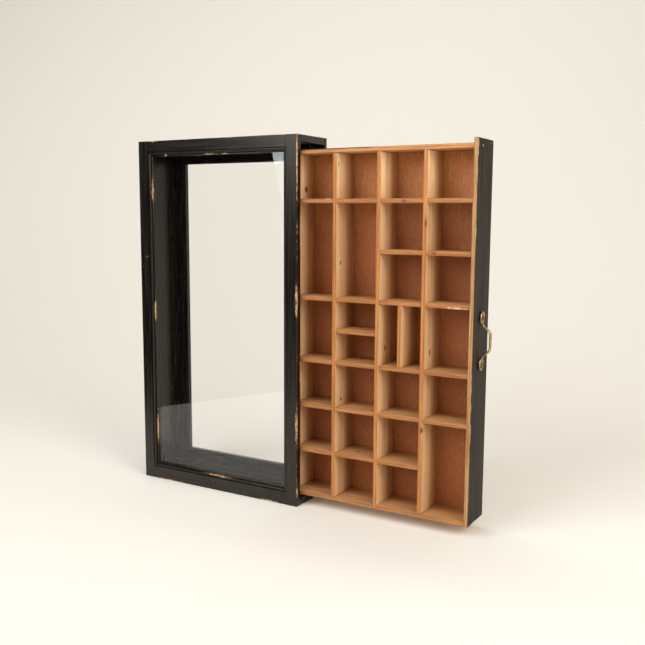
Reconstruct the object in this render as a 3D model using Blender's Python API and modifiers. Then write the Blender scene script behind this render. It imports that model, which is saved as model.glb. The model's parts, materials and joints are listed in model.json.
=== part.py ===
"""Wall display cabinet: a glazed, open-backed case with a compartment tray that slides out to the right.

Axes: +X is the way the tray slides out, the glass faces -Y, +Z is up.
Origin: the middle of the case's underside. The tray stands drawn out, as it is in the photograph.
"""
import math

import bmesh
import bpy
from mathutils import Matrix, Vector

MM = 0.001

# Case, overall
CASE_W = 326.0 * MM
CASE_D = 92.5 * MM
CASE_H = 600.0 * MM

# Case boards
BOARD_T = 11.5 * MM
SIDE_T = 10.5 * MM
CASE_ARRIS = 1.1 * MM

# Front frame
FRONT_T = 10.0 * MM
FRONT_STILE_W = 20.5 * MM
FRONT_TOP_RAIL_H = 19.0 * MM
FRONT_BOTTOM_RAIL_H = 21.6 * MM

# Glazing moulding: two beads, the inner one set deeper
MOULD_OUTER_BEAD_R = 2.2 * MM
MOULD_INNER_BEAD_R = 1.5 * MM
MOULD_QUIRK = 0.4 * MM
MOULD_STEP = 2.9 * MM
MOULD_LIP = 0.9 * MM
BEAD_FACETS = 8

# Glass and the strips that hold it
GLASS_T = 1.6 * MM
GLASS_SIDE_GAP = 0.6 * MM
GLAZING_STRIP_W = 5.0 * MM

# Back frame with its hanging slots
BACK_T = 7.5 * MM
BACK_STILE_W = 34.2 * MM
BACK_TOP_RAIL_H = 35.5 * MM
BACK_BOTTOM_RAIL_H = 36.8 * MM
KEYHOLE_INSET = 80.0 * MM
KEYHOLE_RISE = 9.5 * MM
KEYHOLE_ENTRY_R = 4.4 * MM
KEYHOLE_SLOT_W = 4.6 * MM
KEYHOLE_SLOT_L = 8.0 * MM

# Guides that the tray runs on and under
RUNNER_H = 6.2 * MM
RUNNER_W = 14.0 * MM
RUNNER_LIP_H = 6.0 * MM
KICKER_H = 10.9 * MM
GUIDE_SETBACK = 16.0 * MM
GUIDE_INSET = 4.0 * MM

# Tray; TRAY_HELD is the length that stays in the case when the tray is drawn out
TRAY_T = 6.6 * MM
TRAY_PANEL_T = 3.2 * MM
TRAY_ARRIS = 0.45 * MM
TRAY_HELD = 19.0 * MM

# Clearances
FIT = 0.3 * MM
RUN_GAP = 0.3 * MM
KICK_GAP = 0.6 * MM
STOP_GAP = 8.0 * MM
FRONT_GAP = 3.3 * MM
REAR_GAP = 8.2 * MM
END_TOP_GAP = 4.5 * MM
LIP_GAP = 0.6 * MM
CUT_OVERRUN = 2.0 * MM
WELD = 0.002 * MM

# Pull on the tray's end board
PULL_DROP = 8.0 * MM
PULL_SPAN = 68.0 * MM
LEAF_L = 19.0 * MM
LEAF_W = 16.5 * MM
LEAF_T = 3.4 * MM
LEAF_EDGE_R = 0.8 * MM
LEAF_DISH_DEPTH = 2.0 * MM
LEAF_DISH_LIFT = 0.15 * MM
BOW_REACH = 13.2 * MM
BOW_FOOT_INSET = 7.2 * MM
BOW_THICK = 3.4 * MM
BOW_WIDE = 5.6 * MM
LEAF_POINTS = 28
BOW_STEPS = 4

# Where things lie, as shares of what carries them; the rows' heights run from the top down
row_height_shares = [0.138, 0.138, 0.138, 0.186, 0.1334, 0.1334, 0.1334]
MID_SHELF_share = 0.505
SHORT_DIVIDER_share = 0.5
LAP_share = 0.5
LEAF_TAPER_share = 0.28
LEAF_DISH_share = 0.62
bow_path_shares = [(0.0, 1.0), (0.26, 0.93), (0.74, 0.71), (0.95, 0.55), (1.0, 0.35), (1.0, 0.0)]
bow_radius_shares = [0.8, 0.82, 0.88, 0.96, 1.0, 1.0]

# The divider that is halved into the tray's bottom board, counted from the left
LAPPED_DIVIDER = 2

# The tray's columns from left to right: an x is a shelf below that row, a dot leaves it out,
# and the tall row's cell may be split once more
COLUMN_SHELVES = ("x.xxxx", "x.xxxx", "xxxxxx", "xxxxx.")
TALL_CELL_SPLIT = ("", "half shelf", "upright", "")

# Planes of the case, worked out from the sizes above
LEFT_X = -CASE_W / 2
RIGHT_X = CASE_W / 2
FRONT_Y = -CASE_D / 2
REAR_Y = CASE_D / 2
FRAME_BACK_Y = FRONT_Y + FRONT_T
BACK_FRAME_Y = REAR_Y - BACK_T
FLOOR_Z = BOARD_T
CEILING_Z = CASE_H - BOARD_T
MOULD_W = 2 * MOULD_OUTER_BEAD_R + 2 * MOULD_INNER_BEAD_R
MOULD_D = MOULD_QUIRK + MOULD_OUTER_BEAD_R + MOULD_STEP + MOULD_LIP

# Tray, worked out from the room that the case leaves it
COLUMNS = len(COLUMN_SHELVES)
ROWS = len(row_height_shares)
TALL_ROW = row_height_shares.index(max(row_height_shares))
TRAY_L = CASE_W - SIDE_T - STOP_GAP
TRAY_D = BACK_FRAME_Y - FRAME_BACK_Y - FRONT_GAP - REAR_GAP
TRAY_X = RIGHT_X - TRAY_HELD
TRAY_Y = FRAME_BACK_Y + FRONT_GAP
TRAY_Z = FLOOR_Z + FIT + RUNNER_H + RUN_GAP
TRAY_H = CEILING_Z - FIT - KICKER_H - KICK_GAP - TRAY_Z
END_H = CEILING_Z - END_TOP_GAP - TRAY_Z
CELL_D = TRAY_D - TRAY_PANEL_T - FIT
CELL_W = (TRAY_L - TRAY_T - COLUMNS * TRAY_T) / COLUMNS
ROWS_H = TRAY_H - TRAY_T - ROWS * TRAY_T


def clear_scene():
    """Remove every object that the file opened with."""
    for obj in list(bpy.data.objects):
        bpy.data.objects.remove(obj, do_unlink=True)


def collection(name):
    group = bpy.data.collections.new(name)
    bpy.context.scene.collection.children.link(group)
    return group


def material(name, colour, roughness, metallic=0.0, alpha=1.0):
    mat = bpy.data.materials.new(name)
    mat.use_nodes = True
    shader = mat.node_tree.nodes["Principled BSDF"]
    shader.inputs["Base Color"].default_value = (*colour, 1.0)
    shader.inputs["Roughness"].default_value = roughness
    shader.inputs["Metallic"].default_value = metallic
    shader.inputs["Alpha"].default_value = alpha
    return mat


def empty(name, place, group):
    obj = bpy.data.objects.new(name, None)
    obj.location = place
    group.objects.link(obj)
    return obj


def add_mesh(name, mesh, place, parent, group, mat):
    obj = bpy.data.objects.new(name, mesh)
    obj.location = place
    obj.parent = parent
    group.objects.link(obj)
    obj.data.materials.append(mat)
    return obj


def board(name, low, high, parent, group, mat, arris, steps=1, free_faces=None):
    """A straight board from its low corner to its high corner, with eased arrises.

    Where free_faces names the faces that no neighbour meets, such as "-x -y", only the arrises
    between two of those are eased, and the board lies flush with its neighbours elsewhere.
    """
    low = Vector(low)
    high = Vector(high)
    size = high - low
    mesh = bpy.data.meshes.new(name)
    bm = bmesh.new()
    bmesh.ops.create_cube(bm, size=1.0, matrix=Matrix.Diagonal((*size, 1.0)))
    if free_faces:
        weight = bm.edges.layers.float.new("bevel_weight_edge")
        for edge in bm.edges:
            free = [face_way(face) in free_faces.split() for face in edge.link_faces]
            edge[weight] = float(all(free))
    bm.to_mesh(mesh)
    bm.free()
    obj = add_mesh(name, mesh, (low + high) / 2, parent, group, mat)
    if arris:
        ease_arrises(obj, arris, steps, "WEIGHT" if free_faces else "ANGLE")
    return obj


def face_way(face):
    """Which way a box's face looks, such as "-x"."""
    letter, part = max(zip("xyz", face.normal), key=lambda pair: abs(pair[1]))
    return ("+" if part > 0 else "-") + letter


def ease_arrises(obj, width, steps, limit="ANGLE"):
    ease = obj.modifiers.new("arris", "BEVEL")
    ease.width = width
    ease.segments = steps
    ease.limit_method = limit
    return ease


def outline_solid(name, points, half_depth, edge_radius=0.0):
    """A flat outline in XY given depth along Z, turned into a welded mesh object."""
    curve = bpy.data.curves.new(name, "CURVE")
    curve.dimensions = "2D"
    curve.fill_mode = "BOTH"
    curve.extrude = half_depth
    curve.bevel_depth = edge_radius
    curve.bevel_resolution = 1
    spline = curve.splines.new("POLY")
    spline.points.add(len(points[1:]))
    for point, (x, y) in zip(spline.points, points):
        point.co = (x, y, 0.0, 1.0)
    spline.use_cyclic_u = True
    return mesh_from_curve(curve, name)


def mesh_from_curve(curve, name):
    """Evaluate a curve, weld its caps and drop the curve."""
    holder = bpy.data.objects.new(name + "_curve", curve)
    bpy.context.scene.collection.objects.link(holder)
    depsgraph = bpy.context.evaluated_depsgraph_get()
    mesh = bpy.data.meshes.new_from_object(holder.evaluated_get(depsgraph))
    mesh.name = name
    bm = bmesh.new()
    bm.from_mesh(mesh)
    bmesh.ops.remove_doubles(bm, verts=bm.verts, dist=WELD)
    bmesh.ops.recalc_face_normals(bm, faces=bm.faces)
    bm.to_mesh(mesh)
    bm.free()
    bpy.data.objects.remove(holder, do_unlink=True)
    bpy.data.curves.remove(curve)
    return mesh


def bead_points(centre_u, centre_v, radius):
    """A half-round bead's points, from its outer side over its crown to its inner side."""
    points = []
    for step in range(BEAD_FACETS + 1):
        turn = math.pi * (1 - step / BEAD_FACETS)
        points.append((centre_u + radius * math.cos(turn), centre_v - radius * math.sin(turn)))
    return points


def moulding_profile():
    """The two-bead section: u runs in from the frame, v runs back from its face."""
    outer_v = MOULD_QUIRK + MOULD_OUTER_BEAD_R
    inner_v = outer_v + MOULD_STEP
    profile = [(0.0, MOULD_D)]
    profile += bead_points(MOULD_OUTER_BEAD_R, outer_v, MOULD_OUTER_BEAD_R)
    profile += bead_points(MOULD_W - MOULD_INNER_BEAD_R, inner_v, MOULD_INNER_BEAD_R)
    profile.append((MOULD_W, MOULD_D))
    return profile


def moulding(name, length, place, turn, parent, group, mat):
    """One side of the glazing moulding, mitred at both ends."""
    mesh = outline_solid(name, moulding_profile(), length / 2)
    bm = bmesh.new()
    bm.from_mesh(mesh)
    for end in (1.0, -1.0):
        normal = Vector((1.0, 0.0, end)).normalized()
        point = Vector((0.0, 0.0, end * length / 2)) - normal * FIT / 2
        bmesh.ops.bisect_plane(bm, geom=bm.verts[:] + bm.edges[:] + bm.faces[:], plane_co=point,
                               plane_no=normal, dist=WELD, clear_outer=True)
        rim = [edge for edge in bm.edges if edge.is_boundary]
        bmesh.ops.contextual_create(bm, geom=rim)
    bmesh.ops.recalc_face_normals(bm, faces=bm.faces)
    bm.to_mesh(mesh)
    bm.free()
    obj = add_mesh(name, mesh, place, parent, group, mat)
    obj.rotation_euler = (0.0, turn, 0.0)
    return obj


def as_cutter(obj):
    obj.hide_render = True
    obj.display_type = "WIRE"
    return obj


def boolean(target, tool, operation):
    cut = target.modifiers.new(operation.lower(), "BOOLEAN")
    cut.operation = operation
    cut.solver = "EXACT"
    cut.object = tool
    return cut


def build_case(case, group, cutters, paint, glass, pine):
    """The painted case: two frames, three boards, glazing and the tray's guides."""
    inner_low = FRAME_BACK_Y + FIT
    inner_high = BACK_FRAME_Y - FIT
    board("case_top_board", (LEFT_X, inner_low, CEILING_Z), (RIGHT_X, inner_high, CASE_H),
          case, group, paint, CASE_ARRIS, 2)
    board("case_bottom_board", (LEFT_X, inner_low, 0.0), (RIGHT_X, inner_high, FLOOR_Z),
          case, group, paint, CASE_ARRIS, 2)
    board("case_left_side", (LEFT_X, inner_low, FLOOR_Z + FIT),
          (LEFT_X + SIDE_T, inner_high, CEILING_Z - FIT), case, group, paint, CASE_ARRIS, 2)

    # Front frame: the stiles run through, the rails sit flush between them
    stile_in = LEFT_X + FRONT_STILE_W
    rail_low = stile_in + FIT
    bottom_top = FRONT_BOTTOM_RAIL_H
    top_under = CASE_H - FRONT_TOP_RAIL_H
    board("front_stile_left", (LEFT_X, FRONT_Y, 0.0), (stile_in, FRAME_BACK_Y, CASE_H),
          case, group, paint, CASE_ARRIS, 2, "-x -y -z +z")
    board("front_stile_right", (-stile_in, FRONT_Y, 0.0), (RIGHT_X, FRAME_BACK_Y, CASE_H),
          case, group, paint, CASE_ARRIS, 2, "+x -y -z +z")
    board("front_rail_top", (rail_low, FRONT_Y, top_under), (-rail_low, FRAME_BACK_Y, CASE_H),
          case, group, paint, CASE_ARRIS, 2, "-y +z")
    board("front_rail_bottom", (rail_low, FRONT_Y, 0.0), (-rail_low, FRAME_BACK_Y, bottom_top),
          case, group, paint, CASE_ARRIS, 2, "-y -z")

    # Glazing moulding, mitred round the opening
    wide = -2 * rail_low
    tall = top_under - bottom_top - 2 * FIT
    middle = (top_under + bottom_top) / 2
    quarter = math.pi / 2
    moulding("front_moulding_left", tall, (rail_low, FRONT_Y, middle), 0.0, case, group, paint)
    moulding("front_moulding_right", tall, (-rail_low, FRONT_Y, middle), 2 * quarter,
             case, group, paint)
    moulding("front_moulding_top", wide, (0.0, FRONT_Y, top_under - FIT), quarter,
             case, group, paint)
    moulding("front_moulding_bottom", wide, (0.0, FRONT_Y, bottom_top + FIT), -quarter,
             case, group, paint)

    # Glass behind the moulding, held by strips at its back
    glass_y = FRONT_Y + MOULD_D + FIT
    strip_y = glass_y + GLASS_T + FIT
    glass_low = (stile_in + GLASS_SIDE_GAP, glass_y, bottom_top + GLASS_SIDE_GAP)
    glass_high = (-stile_in - GLASS_SIDE_GAP, glass_y + GLASS_T, top_under - GLASS_SIDE_GAP)
    board("glass_pane", glass_low, glass_high, case, group, glass, 0.0)
    strip_z_low = bottom_top + FIT
    strip_z_high = top_under - FIT
    for side, name in ((1.0, "glazing_strip_left"), (-1.0, "glazing_strip_right")):
        edge = side * rail_low
        inner = side * (rail_low + GLAZING_STRIP_W)
        board(name, (min(edge, inner), strip_y, strip_z_low),
              (max(edge, inner), FRAME_BACK_Y, strip_z_high), case, group, paint, 0.0)
    cross = rail_low + GLAZING_STRIP_W + FIT
    board("glazing_strip_top", (cross, strip_y, strip_z_high - GLAZING_STRIP_W),
          (-cross, FRAME_BACK_Y, strip_z_high), case, group, paint, 0.0)
    board("glazing_strip_bottom", (cross, strip_y, strip_z_low),
          (-cross, FRAME_BACK_Y, strip_z_low + GLAZING_STRIP_W), case, group, paint, 0.0)

    # Back frame
    back_in = LEFT_X + BACK_STILE_W
    back_rail = back_in + FIT
    rail_bottom_z = CASE_H - BACK_TOP_RAIL_H
    board("back_stile_left", (LEFT_X, BACK_FRAME_Y, 0.0), (back_in, REAR_Y, CASE_H),
          case, group, paint, CASE_ARRIS, 2, "-x +y -z +z")
    board("back_stile_right", (-back_in, BACK_FRAME_Y, 0.0), (RIGHT_X, REAR_Y, CASE_H),
          case, group, paint, CASE_ARRIS, 2, "+x +y -z +z")
    rail = board("back_rail_top", (back_rail, BACK_FRAME_Y, rail_bottom_z),
                 (-back_rail, REAR_Y, CASE_H), case, group, paint, CASE_ARRIS, 1, "+y +z")
    board("back_rail_bottom", (back_rail, BACK_FRAME_Y, 0.0),
          (-back_rail, REAR_Y, BACK_BOTTOM_RAIL_H), case, group, paint, CASE_ARRIS, 1, "+y -z")
    for side, name in ((-1.0, "keyhole_left"), (1.0, "keyhole_right")):
        mesh = outline_solid(name, keyhole_points(), BACK_T / 2 + CUT_OVERRUN)
        hole_x = side * (RIGHT_X - KEYHOLE_INSET)
        tool = add_mesh(name, mesh, (hole_x, (BACK_FRAME_Y + REAR_Y) / 2, rail_bottom_z + KEYHOLE_RISE),
                        case, cutters, paint)
        tool.rotation_euler = (math.pi / 2, 0.0, 0.0)
        boolean(rail, as_cutter(tool), "DIFFERENCE")

    # Guides: two runners below the tray, the rear one with a lip, and two kickers above it
    guide_low = LEFT_X + SIDE_T + GUIDE_INSET
    guide_high = RIGHT_X - GUIDE_SETBACK
    guide_middle = (guide_low + guide_high) / 2
    front_guide = TRAY_Y + GUIDE_INSET
    rear_guide = TRAY_Y + TRAY_D - RUNNER_W
    runner_z = FLOOR_Z + FIT
    board("runner_front", (guide_low, front_guide, runner_z),
          (guide_high, front_guide + RUNNER_W, runner_z + RUNNER_H), case, group, pine, 0.0)
    mesh = outline_solid("runner_rear", rear_runner_points(), (guide_high - guide_low) / 2)
    rear = add_mesh("runner_rear", mesh, (guide_middle, rear_guide, runner_z), case, group, pine)
    rear.rotation_euler = (math.pi / 2, 0.0, math.pi / 2)
    kicker_z = CEILING_Z - FIT
    board("kicker_front", (guide_low, front_guide, kicker_z - KICKER_H),
          (guide_high, front_guide + RUNNER_W, kicker_z), case, group, paint, 0.0)
    board("kicker_rear", (guide_low, rear_guide, kicker_z - KICKER_H),
          (guide_high, rear_guide + RUNNER_W, kicker_z), case, group, paint, 0.0)


def keyhole_points():
    """A round entry with a narrower slot above it, in the rail's plane."""
    half_slot = KEYHOLE_SLOT_W / 2
    meet = math.asin(half_slot / KEYHOLE_ENTRY_R)
    points = []
    steps = 3 * BEAD_FACETS
    for step in range(steps + 1):
        turn = math.pi / 2 + meet + (2 * math.pi - 2 * meet) * step / steps
        points.append((KEYHOLE_ENTRY_R * math.cos(turn), KEYHOLE_ENTRY_R * math.sin(turn)))
    for step in range(BEAD_FACETS + 1):
        turn = math.pi * step / BEAD_FACETS
        points.append((half_slot * math.cos(turn), KEYHOLE_SLOT_L + half_slot * math.sin(turn)))
    return points


def rear_runner_points():
    """The rear runner's section: a flat runner with a lip behind the tray's back."""
    lip_low = RUNNER_W + LIP_GAP
    lip_high = RUNNER_W + REAR_GAP - FIT
    top = RUNNER_H + RUNNER_LIP_H
    return [(0.0, 0.0), (lip_high, 0.0), (lip_high, top), (lip_low, top), (lip_low, RUNNER_H),
            (0.0, RUNNER_H)]


def row_spans():
    """Each row's floor and ceiling above the tray's underside, from the top row down."""
    spans = []
    ceiling = TRAY_H - TRAY_T
    for share in row_height_shares:
        floor = ceiling - ROWS_H * share / sum(row_height_shares)
        spans.append((floor, ceiling))
        ceiling = floor - TRAY_T
    return spans


def column_spans():
    """The left and right face of each column's clear width, from the tray's left end."""
    lows = [TRAY_T + column * (CELL_W + TRAY_T) for column in range(COLUMNS)]
    return [(low, low + CELL_W) for low in lows]


def lapped_divider(name, x, tray, group, pine):
    """A divider whose front half runs down through a slot in the tray's bottom board."""
    lap = CELL_D * LAP_share
    foot = TRAY_T + FIT
    top = TRAY_H - TRAY_T - FIT
    outline = [(0.0, 0.0), (lap, 0.0), (lap, foot), (CELL_D, foot), (CELL_D, top), (0.0, top)]
    divider = add_mesh(name, outline_solid(name, outline, TRAY_T / 2), (x + TRAY_T / 2, 0.0, 0.0),
                       tray, group, pine)
    divider.rotation_euler = (math.pi / 2, 0.0, math.pi / 2)
    ease_arrises(divider, TRAY_ARRIS, 1)
    return divider


def build_tray(tray, group, cutters, pine, panel_wood, end_wood):
    """The compartment tray, in its own frame: x from its left end, y from its front, z up."""
    end_x = TRAY_L - TRAY_T
    bottom = board("tray_bottom_board", (0.0, 0.0, 0.0), (end_x - FIT, CELL_D, TRAY_T),
                   tray, group, pine, TRAY_ARRIS)
    board("tray_top_board", (0.0, 0.0, TRAY_H - TRAY_T), (end_x - FIT, CELL_D, TRAY_H),
          tray, group, pine, TRAY_ARRIS)
    board("tray_left_board", (0.0, 0.0, TRAY_T + FIT), (TRAY_T, CELL_D, TRAY_H - TRAY_T - FIT),
          tray, group, pine, TRAY_ARRIS)
    board("tray_end_board", (end_x, 0.0, 0.0), (TRAY_L, TRAY_D, END_H),
          tray, group, end_wood, TRAY_ARRIS, 2)
    board("tray_back_panel", (0.0, CELL_D + FIT, 0.0), (end_x - FIT, TRAY_D, TRAY_H),
          tray, group, panel_wood, 0.0)
    rows = row_spans()
    columns = column_spans()
    for number, (low, high) in enumerate(columns[:-1], 1):
        name = "tray_divider_%d" % number
        if number == LAPPED_DIVIDER:
            lapped_divider(name, high, tray, group, pine)
            slot = board("divider_slot", (high - FIT, -CUT_OVERRUN, -CUT_OVERRUN),
                         (high + TRAY_T + FIT, CELL_D * LAP_share + FIT, TRAY_T + CUT_OVERRUN),
                         tray, cutters, pine, 0.0)
            boolean(bottom, as_cutter(slot), "DIFFERENCE")
        else:
            board(name, (high, 0.0, TRAY_T + FIT), (high + TRAY_T, CELL_D, TRAY_H - TRAY_T - FIT),
                  tray, group, pine, TRAY_ARRIS)
    for number, (span, marks) in enumerate(zip(columns, COLUMN_SHELVES), 1):
        for row, (mark, (floor, ceiling)) in enumerate(zip(marks, rows), 1):
            if mark == "x":
                shelf("shelf_col%d_row%d" % (number, row), span, floor - TRAY_T, tray, group, pine)

    # The tall row's extra pieces
    floor, ceiling = rows[TALL_ROW]
    for number, (span, split) in enumerate(zip(columns, TALL_CELL_SPLIT), 1):
        if split == "half shelf":
            shelf("shelf_mid_col%d" % number, span,
                  floor + (ceiling - floor - TRAY_T) * MID_SHELF_share, tray, group, pine)
        elif split == "upright":
            x = span[0] + (CELL_W - TRAY_T) * SHORT_DIVIDER_share
            board("divider_short", (x, 0.0, floor + FIT), (x + TRAY_T, CELL_D, ceiling - FIT),
                  tray, group, pine, TRAY_ARRIS)


def shelf(name, span, z, tray, group, pine):
    """A shelf across one column, a fit clear of the dividers and the back panel."""
    low, high = span
    board(name, (low + FIT, 0.0, z), (high - FIT, CELL_D - FIT, z + TRAY_T),
          tray, group, pine, TRAY_ARRIS)


def leaf_points(width, length):
    """An egg-shaped leaf, narrower towards +Y."""
    points = []
    for step in range(LEAF_POINTS):
        turn = 2 * math.pi * step / LEAF_POINTS
        swell = 1 - LEAF_TAPER_share * math.sin(turn)
        points.append((width / 2 * math.cos(turn) * swell, length / 2 * math.sin(turn)))
    return points


def bow_points():
    """The bow's centre line from its lower foot over the grip to its upper foot."""
    half = PULL_SPAN / 2 - BOW_FOOT_INSET
    arm = [(share * BOW_REACH, -height * half, radius)
           for (share, height), radius in zip(bow_path_shares, bow_radius_shares)]
    keys = arm + [(x, -z, radius) for x, z, radius in reversed(arm[:-1])]
    path = []
    for i in range(len(keys) - 1):
        before = keys[max(i - 1, 0)]
        after = keys[min(i + 2, len(keys) - 1)]
        for step in range(BOW_STEPS):
            path.append(smooth(before, keys[i], keys[i + 1], after, step / BOW_STEPS))
    path.append(keys[-1])
    return path


def smooth(a, b, c, d, t):
    """A point on the smooth line through b and c."""
    return tuple(0.5 * (2 * q + (r - p) * t + (2 * p - 5 * q + 4 * r - s) * t * t
                        + (3 * q - p - 3 * r + s) * t * t * t) for p, q, r, s in zip(a, b, c, d))


def build_pull(tray, group, cutters, brass):
    """The cast bow pull: a bow between two dished leaves, flat on the end board."""
    place = Vector((TRAY_L + FIT, TRAY_D / 2, END_H / 2 - PULL_DROP))
    curve = bpy.data.curves.new("pull_bow", "CURVE")
    curve.dimensions = "3D"
    curve.bevel_depth = BOW_THICK / 2
    curve.bevel_resolution = 3
    curve.use_fill_caps = True
    spline = curve.splines.new("POLY")
    path = bow_points()
    spline.points.add(len(path[1:]))
    foot = LEAF_T / 2
    for point, (x, z, radius) in zip(spline.points, path):
        point.co = (foot + x, 0.0, z, 1.0)
        point.radius = radius
    mesh = mesh_from_curve(curve, "pull_handle")
    mesh.transform(Matrix.Diagonal((1.0, BOW_WIDE / BOW_THICK, 1.0, 1.0)))
    pull = add_mesh("pull_handle", mesh, place, tray, group, brass)
    for side, name in ((1.0, "upper"), (-1.0, "lower")):
        outline = [(x, side * y) for x, y in leaf_points(LEAF_W, LEAF_L)]
        mesh = outline_solid("leaf_" + name, outline, LEAF_T / 2 - LEAF_EDGE_R, LEAF_EDGE_R)
        centre = place + Vector((LEAF_T / 2, 0.0, side * PULL_SPAN / 2))
        leaf = add_mesh("leaf_" + name, mesh, centre, tray, cutters, brass)
        leaf.rotation_euler = (math.pi / 2, 0.0, math.pi / 2)
        boolean(pull, as_cutter(leaf), "UNION")
    for side, name in ((1.0, "upper"), (-1.0, "lower")):
        mesh = bpy.data.meshes.new("dish_" + name)
        bm = bmesh.new()
        bmesh.ops.create_uvsphere(bm, u_segments=16, v_segments=8, radius=1.0)
        bm.to_mesh(mesh)
        bm.free()
        mesh.transform(Matrix.Diagonal((LEAF_DISH_DEPTH, LEAF_W * LEAF_DISH_share / 2,
                                        LEAF_L * LEAF_DISH_share / 2, 1.0)))
        centre = place + Vector((LEAF_T + LEAF_DISH_LIFT, 0.0,
                                 side * (PULL_SPAN + LEAF_L * LEAF_TAPER_share) / 2))
        dish = add_mesh("dish_" + name, mesh, centre, tray, cutters, brass)
        boolean(pull, as_cutter(dish), "DIFFERENCE")
    return pull


def main():
    clear_scene()
    group = collection("wall_display_cabinet")
    cutters = collection("cutters")
    paint = material("black_paint", (0.028, 0.026, 0.024), 0.48)
    pine = material("pine", (0.56, 0.33, 0.16), 0.55)
    panel_wood = material("stained_plywood", (0.33, 0.13, 0.055), 0.6)
    end_wood = material("end_board_paint", (0.045, 0.04, 0.034), 0.5)
    brass = material("antique_brass", (0.42, 0.31, 0.15), 0.38, 1.0)
    glass = material("window_glass", (0.93, 0.95, 0.95), 0.03, 0.0, 0.2)
    case = empty("case_frame", (0.0, 0.0, 0.0), group)
    tray = empty("tray_slide", (TRAY_X, TRAY_Y, TRAY_Z), group)
    build_case(case, group, cutters, paint, glass, pine)
    build_tray(tray, group, cutters, pine, panel_wood, end_wood)
    build_pull(tray, group, cutters, brass)


main()
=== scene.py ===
"""Wall display cabinet, dressed: rubbed black paint, pine, stained plywood, cast brass and glass.

Metres. +X is the way the tray slides out, the glass faces -Y, +Z is up.
"""

import json
import math

import bpy
from mathutils import Matrix, Vector


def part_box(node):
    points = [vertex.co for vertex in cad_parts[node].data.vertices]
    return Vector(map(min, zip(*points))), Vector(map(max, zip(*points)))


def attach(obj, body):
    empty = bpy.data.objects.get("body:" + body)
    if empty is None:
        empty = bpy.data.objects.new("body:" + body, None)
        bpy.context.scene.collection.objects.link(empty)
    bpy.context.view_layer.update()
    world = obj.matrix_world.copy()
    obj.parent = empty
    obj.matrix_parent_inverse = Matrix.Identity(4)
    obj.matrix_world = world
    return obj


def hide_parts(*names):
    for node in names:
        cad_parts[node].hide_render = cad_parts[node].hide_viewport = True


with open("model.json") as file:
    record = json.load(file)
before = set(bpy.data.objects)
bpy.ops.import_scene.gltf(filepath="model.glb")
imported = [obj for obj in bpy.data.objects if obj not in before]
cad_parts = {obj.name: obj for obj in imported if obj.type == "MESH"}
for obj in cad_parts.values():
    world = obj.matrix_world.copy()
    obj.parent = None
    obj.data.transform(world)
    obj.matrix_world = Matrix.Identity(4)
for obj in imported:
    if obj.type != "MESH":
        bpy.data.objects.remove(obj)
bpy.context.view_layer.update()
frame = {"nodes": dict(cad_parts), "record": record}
nodes = frame["nodes"]
case_nodes = frame["record"]["behaviour"]["bodies"]["case"]
tray_nodes = frame["record"]["behaviour"]["bodies"]["tray"]
MM = 0.001


# Finishes

# The mix node's sockets for colours
MIX_SHARE, MIX_UNDER, MIX_OVER, MIX_RESULT = 0, 6, 7, 2


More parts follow.
